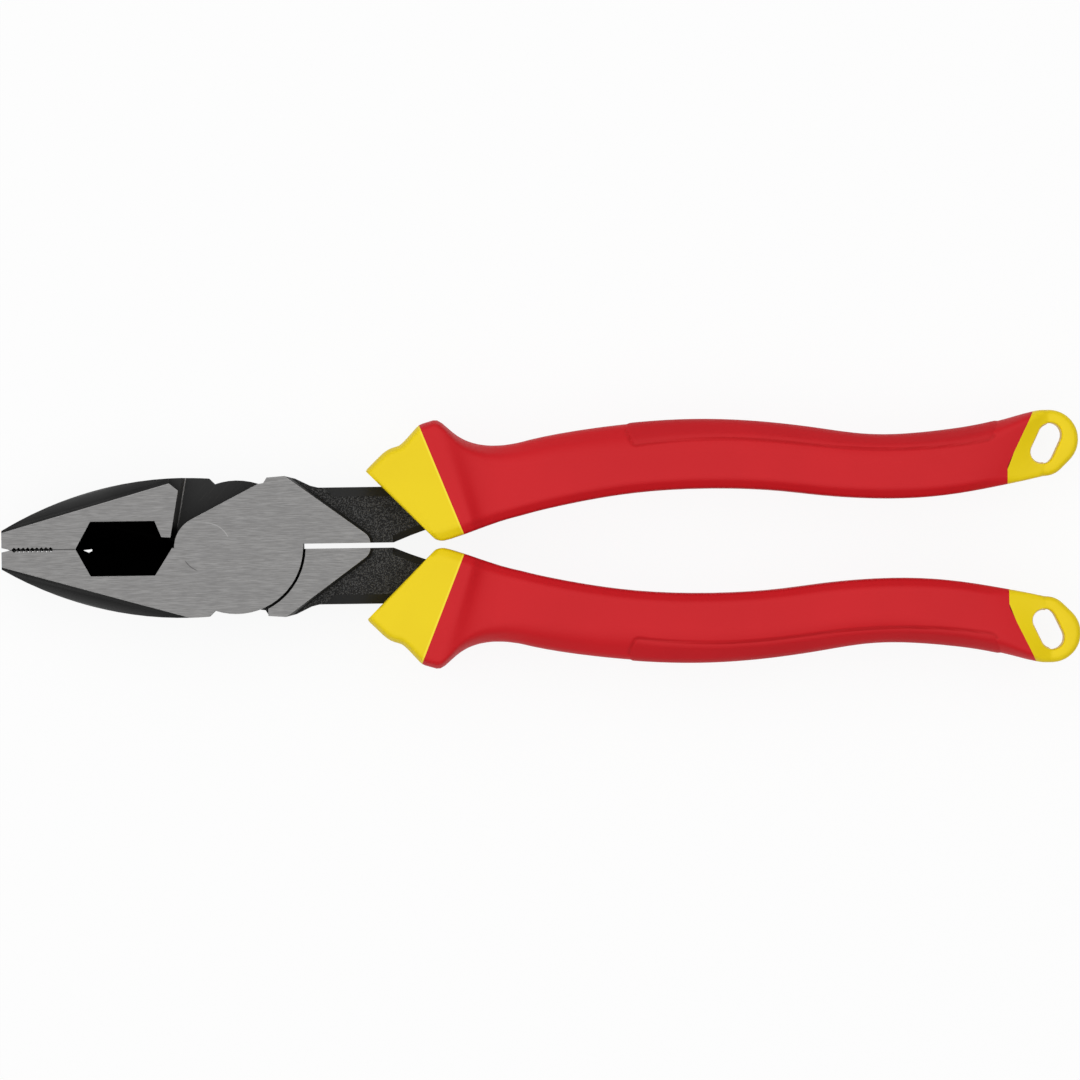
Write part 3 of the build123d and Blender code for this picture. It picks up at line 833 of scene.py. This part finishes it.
def cutAway(shape, x, lean=0.0):
    # Everything on the guard's side of the plane goes, and the cut is closed
    geometry = shape.verts[:] + shape.edges[:] + shape.faces[:]
    bmesh.ops.bisect_plane(shape, geom=geometry, dist=1e-7, plane_co=pivot + Vector((x, 0, 0)) * mm,
                           plane_no=(1, -lean, 0), clear_inner=True)
    edges = [edge for edge in shape.edges if edge.is_boundary]
    bmesh.ops.holes_fill(shape, edges=edges, sides=0)


def makeSlot(side):
    # The cord slot as a solid, to be cut out of the eye
    lean = radians(eyeLook["slotLean"])
    middle = np.array(eyeLook["slotMiddle"])
    way = np.array((sin(lean), cos(lean)))
    square = np.array((way[1], -way[0]))
    loops = []
    for height, radius in eyeLook["slotProfile"]:
        loop = []
        for end in (1, -1):
            for t in np.linspace(0, pi, eyeLook["slotPoints"]):
                reach = way * (eyeLook["slotHalf"] + radius * sin(t)) + square * radius * cos(t)
                loop.append((*(middle + end * reach), height))
        loops.append(np.array(loop))
    shape = bmesh.new()
    addRings(shape, loops, side)
    return placeObject("slot", makeMesh(shape, "slot"))


def makeEye(prefix, side):
    # The lanyard eye: the CAD sleeve's end and the handle's tail, grown together and smoothed
    shape = mergedCopy(prefix + "_sleeve")
    cutAway(shape, eyeLook["start"])
    first = next(index for index, middle in enumerate(middles)
                 if middle > eyeLook["start"] - eyeLook["overlap"])
    addRings(shape, rings[first:], side)
    blank = placeObject("blank", makeMesh(shape, "blank"))
    grow = blank.modifiers.new("grow", "REMESH")
    grow.mode = "VOXEL"
    grow.voxel_size = eyeLook["voxel"] * mm
    smooth = blank.modifiers.new("smooth", "SMOOTH")
    smooth.iterations = eyeLook["smooth"]
    slot = makeSlot(side)
    cut = blank.modifiers.new("cut", "BOOLEAN")
    cut.operation = "DIFFERENCE"
    cut.object = slot
    depsgraph = bpy.context.evaluated_depsgraph_get()
    grown = bpy.data.meshes.new_from_object(blank.evaluated_get(depsgraph))
    for helper in (blank, slot):
        bpy.data.objects.remove(helper)
    shape = bmesh.new()
    shape.from_mesh(grown)
    tailPlane = handle["fan"][handle["tailPlane"]]
    cutAway(shape, tailPlane[0], planeLean(tailPlane) * side)
    cutAway(shape, handle["tailStep"])
    return shape


seamOnTail = ringOnSeam()
for prefix, side in halves.items():
    # Each moulding's rings, its finish and the CAD node that it stands for
    mouldings = {
        "guard": ([insetRing(rings[0], handle["guardLip"]), *rings[1:seamRing + 1]],
                  "yellow_sleeve", "_sleeve"),
        "jacket": ([*rings[seamRing:tailRing - 1], seamOnTail], "red_grip", "_grip"),
        "padSkin": (padRings, "red_pad", "_pad"),
    }
    for part, (loops, slot, node) in mouldings.items():
        shape = bmesh.new()
        addRings(shape, loops, side)
        piece = addPiece(shape, f"{prefix}_{part}", prefix + "_body", slot, prefix + node)
        if part == "jacket":
            markGap(piece, side)
    addPiece(makeEye(prefix, side), prefix + "_eye", prefix + "_body", "yellow_sleeve")
    print("handle built:", prefix)


studio = {
    "sensor": 36.0,
    "distance": 2.5,
    "frameWidth": 0.2517,
    "aim": (-0.0002, 0.00070),
    "roll": -0.785,             # degrees
    "farthest": 20.0,
    "lampSize": 3.2,
    "lampPlace": (-0.15, 0.14, 1.4),
    "lampPower": 41.0,
    "worldGrey": 0.15,
    "floorSize": 6.0,
    "floorColour": (0.86, 0.86, 0.86, 1),
    "floorRough": 0.8,
    "floorSpecular": 0.1,
    "shadow": 0.09,             # how much of the floor's own shading shows through the white
}


def makeCamera(settings):
    data = bpy.data.cameras.new("camera")
    data.sensor_width = settings["sensor"]
    data.lens = settings["sensor"] * settings["distance"] / settings["frameWidth"]
    data.clip_end = settings["farthest"]
    camera = placeObject("camera", data)
    camera.location = (*settings["aim"], pivot.z + settings["distance"])
    camera.rotation_euler = (0, 0, radians(settings["roll"]))
    bpy.context.scene.camera = camera


def makeLamp(settings):
    data = bpy.data.lights.new("overheadSoftbox", "AREA")
    data.shape = "SQUARE"
    data.size = settings["lampSize"]
    data.energy = settings["lampPower"]
    lamp = placeObject("overheadSoftbox", data)
    lamp.visible_camera = False
    lamp.location = settings["lampPlace"]
    lamp.rotation_euler = (-lamp.location).to_track_quat("-Z", "Y").to_euler()


def seenDirectly(tree):
    path = tree.nodes.new("ShaderNodeLightPath")
    glossy = calc(tree, "MAXIMUM", path.outputs["Is Camera Ray"], path.outputs["Is Glossy Ray"])
    return calc(tree, "MAXIMUM", glossy, path.outputs["Is Transmission Ray"])


def makeFloor(settings):
    half = settings["floorSize"] / 2
    mesh = bpy.data.meshes.new("floor")
    corners = [(-half, -half, 0), (half, -half, 0), (half, half, 0), (-half, half, 0)]
    mesh.from_pydata(corners, [], [(0, 1, 2, 3)])
    floor = placeObject("floor", mesh)
    material, tree, shader = startMaterial("paleFloor")
    shader.inputs["Base Color"].default_value = settings["floorColour"]
    shader.inputs["Roughness"].default_value = settings["floorRough"]
    shader.inputs["Specular IOR Level"].default_value = settings["floorSpecular"]
    white = tree.nodes.new("ShaderNodeEmission")
    white.inputs["Color"].default_value = (1, 1, 1, 1)
    blend = tree.nodes.new("ShaderNodeMixShader")
    feed(tree, blend.inputs[0], calc(tree, "MULTIPLY", seenDirectly(tree), 1 - settings["shadow"]))
    feed(tree, blend.inputs[1], shader.outputs[0])
    feed(tree, blend.inputs[2], white.outputs[0])
    out = next(node for node in tree.nodes if node.type == "OUTPUT_MATERIAL")
    feed(tree, out.inputs[0], blend.outputs[0])
    mesh.materials.append(material)


def makeWorld(settings):
    world = bpy.data.worlds.new("studioWorld")
    world.use_nodes = True
    tree = world.node_tree
    tree.nodes.clear()
    # White where the camera sees it, and a dim grey light on the object
    light = tree.nodes.new("ShaderNodeBackground")
    light.inputs["Color"].default_value = (1, 1, 1, 1)
    out = tree.nodes.new("ShaderNodeOutputWorld")
    path = tree.nodes.new("ShaderNodeLightPath")
    strength = mixValue(tree, path.outputs["Is Camera Ray"], settings["worldGrey"], 1.0)
    feed(tree, light.inputs["Strength"], strength)
    feed(tree, out.inputs[0], light.outputs[0])
    bpy.context.scene.world = world


makeCamera(studio)
makeLamp(studio)
makeFloor(studio)
makeWorld(studio)
bpy.context.scene.view_settings.view_transform = "Standard"
print("studio ready")
